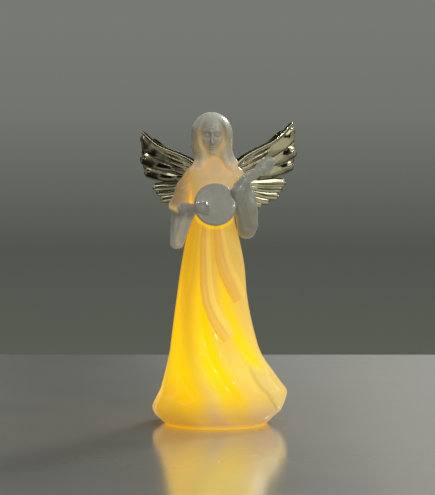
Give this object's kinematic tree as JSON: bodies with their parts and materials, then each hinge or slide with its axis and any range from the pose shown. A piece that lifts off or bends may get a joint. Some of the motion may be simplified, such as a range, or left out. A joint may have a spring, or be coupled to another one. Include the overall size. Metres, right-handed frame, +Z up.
{
  "type": "lit angel figurine",
  "caption": "Hollow porcelain angel playing a lute, with mirror-plated wings and a push-in battery light that makes the gown glow.",
  "frame": {"origin": "on the table, under the middle of the figure's box, inside the ring foot", "axes": "+Z up, the figure faces -Y, and +X is the figure's own left, the side of the lute's neck"},
  "size_m": [0.0808, 0.0559, 0.16],
  "materials": {
    "lit_porcelain": "thin glossy glazed porcelain, glowing warm yellow from the light inside",
    "white_porcelain": "glossy glazed white porcelain",
    "gold_plating": "champagne-gold mirror plating over the cast feathers",
    "white_plastic": "fine-textured moulded white plastic",
    "clear_rubber": "soft translucent silicone",
    "bright_steel": "bright plated steel",
    "green_board": "green solder-masked board",
    "black_plastic": "black moulded plastic",
    "warm_lens": "clear epoxy lens lit warm white",
    "tinned_metal": "tinned spring metal",
    "red_insulation": "red wire insulation"
  },
  "bodies": {
    "figurine": {"gown_shell": "lit_porcelain", "head": "white_porcelain", "right_arm": "lit_porcelain", "left_arm": "white_porcelain", "lute_body": "white_porcelain", "lute_neck": "white_porcelain", "left_wing": "gold_plating", "right_wing": "gold_plating", "base_collar": "white_plastic"},
    "light_module": {"module_housing": "white_plastic", "grip_ring": "clear_rubber", "module_cap": "white_plastic", "cap_screws": "bright_steel", "circuit_board": "green_board", "board_components": "black_plastic", "led_lens": "warm_lens", "led_legs": "tinned_metal", "switch_body": "tinned_metal", "lead_wires": "red_insulation", "button_cells": "bright_steel", "top_contacts": "tinned_metal"},
    "switch": {"switch_slider": "black_plastic"},
    "door": {"battery_door": "white_plastic", "door_contact": "tinned_metal"},
    "door_screw": {"door_screw": "bright_steel"}
  },
  "joints": [
    {"name": "module_pull", "type": "slide", "parent": "figurine", "child": "light_module", "axis": [0, 0, -1], "range_m": [0, 0.03]},
    {"name": "switch_slide", "type": "slide", "parent": "light_module", "child": "switch", "axis": [1, 0, 0], "range_m": [0, 0.002]},
    {"name": "door_lift", "type": "slide", "parent": "light_module", "child": "door", "axis": [0, 0, -1], "range_m": [0, 0.012]},
    {"name": "door_screw_turn", "type": "hinge", "parent": "door", "child": "door_screw", "pos_m": [-0.001, 0.0152, 0.001], "axis": [0, 0, 1], "continuous": true}
  ]
}
